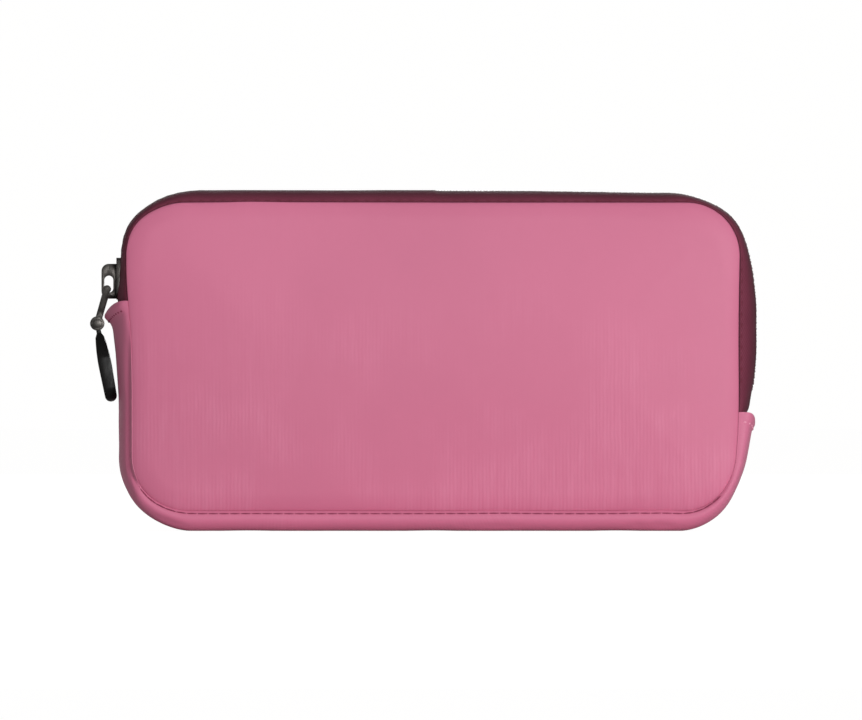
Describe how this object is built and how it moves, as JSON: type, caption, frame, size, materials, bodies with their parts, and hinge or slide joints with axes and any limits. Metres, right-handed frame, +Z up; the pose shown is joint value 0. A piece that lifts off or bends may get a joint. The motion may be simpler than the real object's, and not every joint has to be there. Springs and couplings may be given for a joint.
{
  "type": "cable organizer pouch",
  "caption": "Padded clamshell pouch for cables with a zip round its top and sides, a slider with a hinged pull, elastic loops and a slip pocket inside.",
  "frame": {"origin": "middle of the flat underside that the pouch stands on", "axes": "+Z up, +X along the width to the picture's right, -Y out of the front panel"},
  "size_m": [0.2193, 0.0472, 0.1117],
  "materials": {
    "shell_cloth": "soft ribbed polyester with a faint sheen",
    "padding_foam": "open-cell foam",
    "lining_cloth": "plain woven nylon",
    "seam_binding": "ribbed woven tape",
    "zip_tape": "woven zip tape",
    "zip_coil": "moulded coil",
    "elastic_webbing": "knitted elastic",
    "pocket_mesh": "fine knitted mesh",
    "gunmetal": "dark plated, satin"
  },
  "bodies": {
    "root": {"back_panel": "shell_cloth", "back_padding": "padding_foam", "back_lining": "lining_cloth", "back_binding": "seam_binding", "front_panel_lower": "shell_cloth", "front_padding_lower": "padding_foam", "front_lining_lower": "lining_cloth", "front_binding_lower": "seam_binding", "lower_gusset": "shell_cloth", "gusset_lining": "lining_cloth", "back_zip_tape": "zip_tape", "back_zip_coil": "zip_coil", "front_coil_end": "zip_coil", "elastic_loops": "elastic_webbing", "mesh_pocket": "pocket_mesh", "pocket_edging": "elastic_webbing"},
    "mouth_flap": {"front_panel_upper": "shell_cloth", "front_padding_upper": "padding_foam", "front_lining_upper": "lining_cloth", "front_binding_upper": "seam_binding", "front_zip_tape": "zip_tape", "front_zip_coil": "zip_coil"},
    "slider": {"slider_body": "gunmetal", "slider_bail": "gunmetal"},
    "link": {"pull_link": "gunmetal", "pull_rivet": "gunmetal"},
    "pull": {"pull_paddle": "gunmetal"}
  },
  "joints": [
    {"name": "mouth_opening", "type": "hinge", "parent": "root", "child": "mouth_flap", "pos_m": [0, -0.02365, 0.0574], "axis": [0.9851, 0, -0.1719], "range_deg": [0, 70]},
    {"name": "zip_run", "type": "hinge", "parent": "root", "child": "slider", "pos_m": [-0.0748, 0, 0.0826], "axis": [0, 1, 0], "range_deg": [0, 90]},
    {"name": "link_swing", "type": "hinge", "parent": "slider", "child": "link", "pos_m": [-0.10875, 0, 0.0796], "axis": [0, 1, 0], "range_deg": [0, 120]},
    {"name": "pull_swing", "type": "hinge", "parent": "link", "child": "pull", "pos_m": [-0.112, 0, 0.06826], "axis": [0, 1, 0], "range_deg": [0, 75]}
  ]
}
